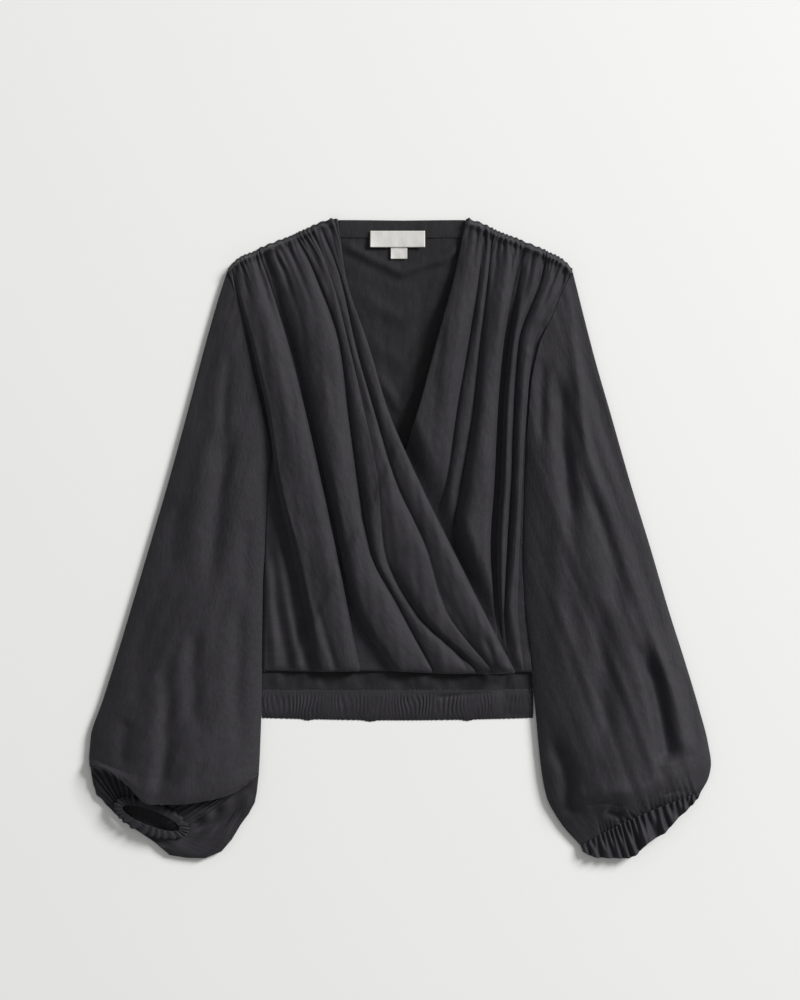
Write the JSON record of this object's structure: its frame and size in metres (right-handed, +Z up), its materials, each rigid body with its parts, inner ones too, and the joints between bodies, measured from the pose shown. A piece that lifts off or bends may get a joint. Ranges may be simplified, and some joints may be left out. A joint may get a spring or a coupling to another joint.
{
  "type": "wrap top",
  "caption": "Long-sleeved wrap top laid flat, with gathered crossover fronts, full sleeves, elastic cuffs and an elastic back hem.",
  "frame": {"origin": "centre of the bounding box on the surface the top lies on", "axes": "+X towards the wearer's left, +Y from the hem towards the neck, +Z up from the surface"},
  "size_m": [0.646, 0.6633, 0.0259],
  "materials": {
    "charcoal_cloth": "matte",
    "facing_cloth": "matte",
    "label_satin": "satin"
  },
  "bodies": {
    "root": {"back_right": "charcoal_cloth", "back_left": "charcoal_cloth", "waistband_back": "charcoal_cloth", "back_neck_facing": "facing_cloth", "neck_label": "label_satin", "size_label": "label_satin", "front_under": "charcoal_cloth", "front_over": "charcoal_cloth", "sleeve_right": "charcoal_cloth", "cuff_right": "charcoal_cloth", "sleeve_left": "charcoal_cloth", "cuff_left": "charcoal_cloth"}
  },
  "joints": []
}
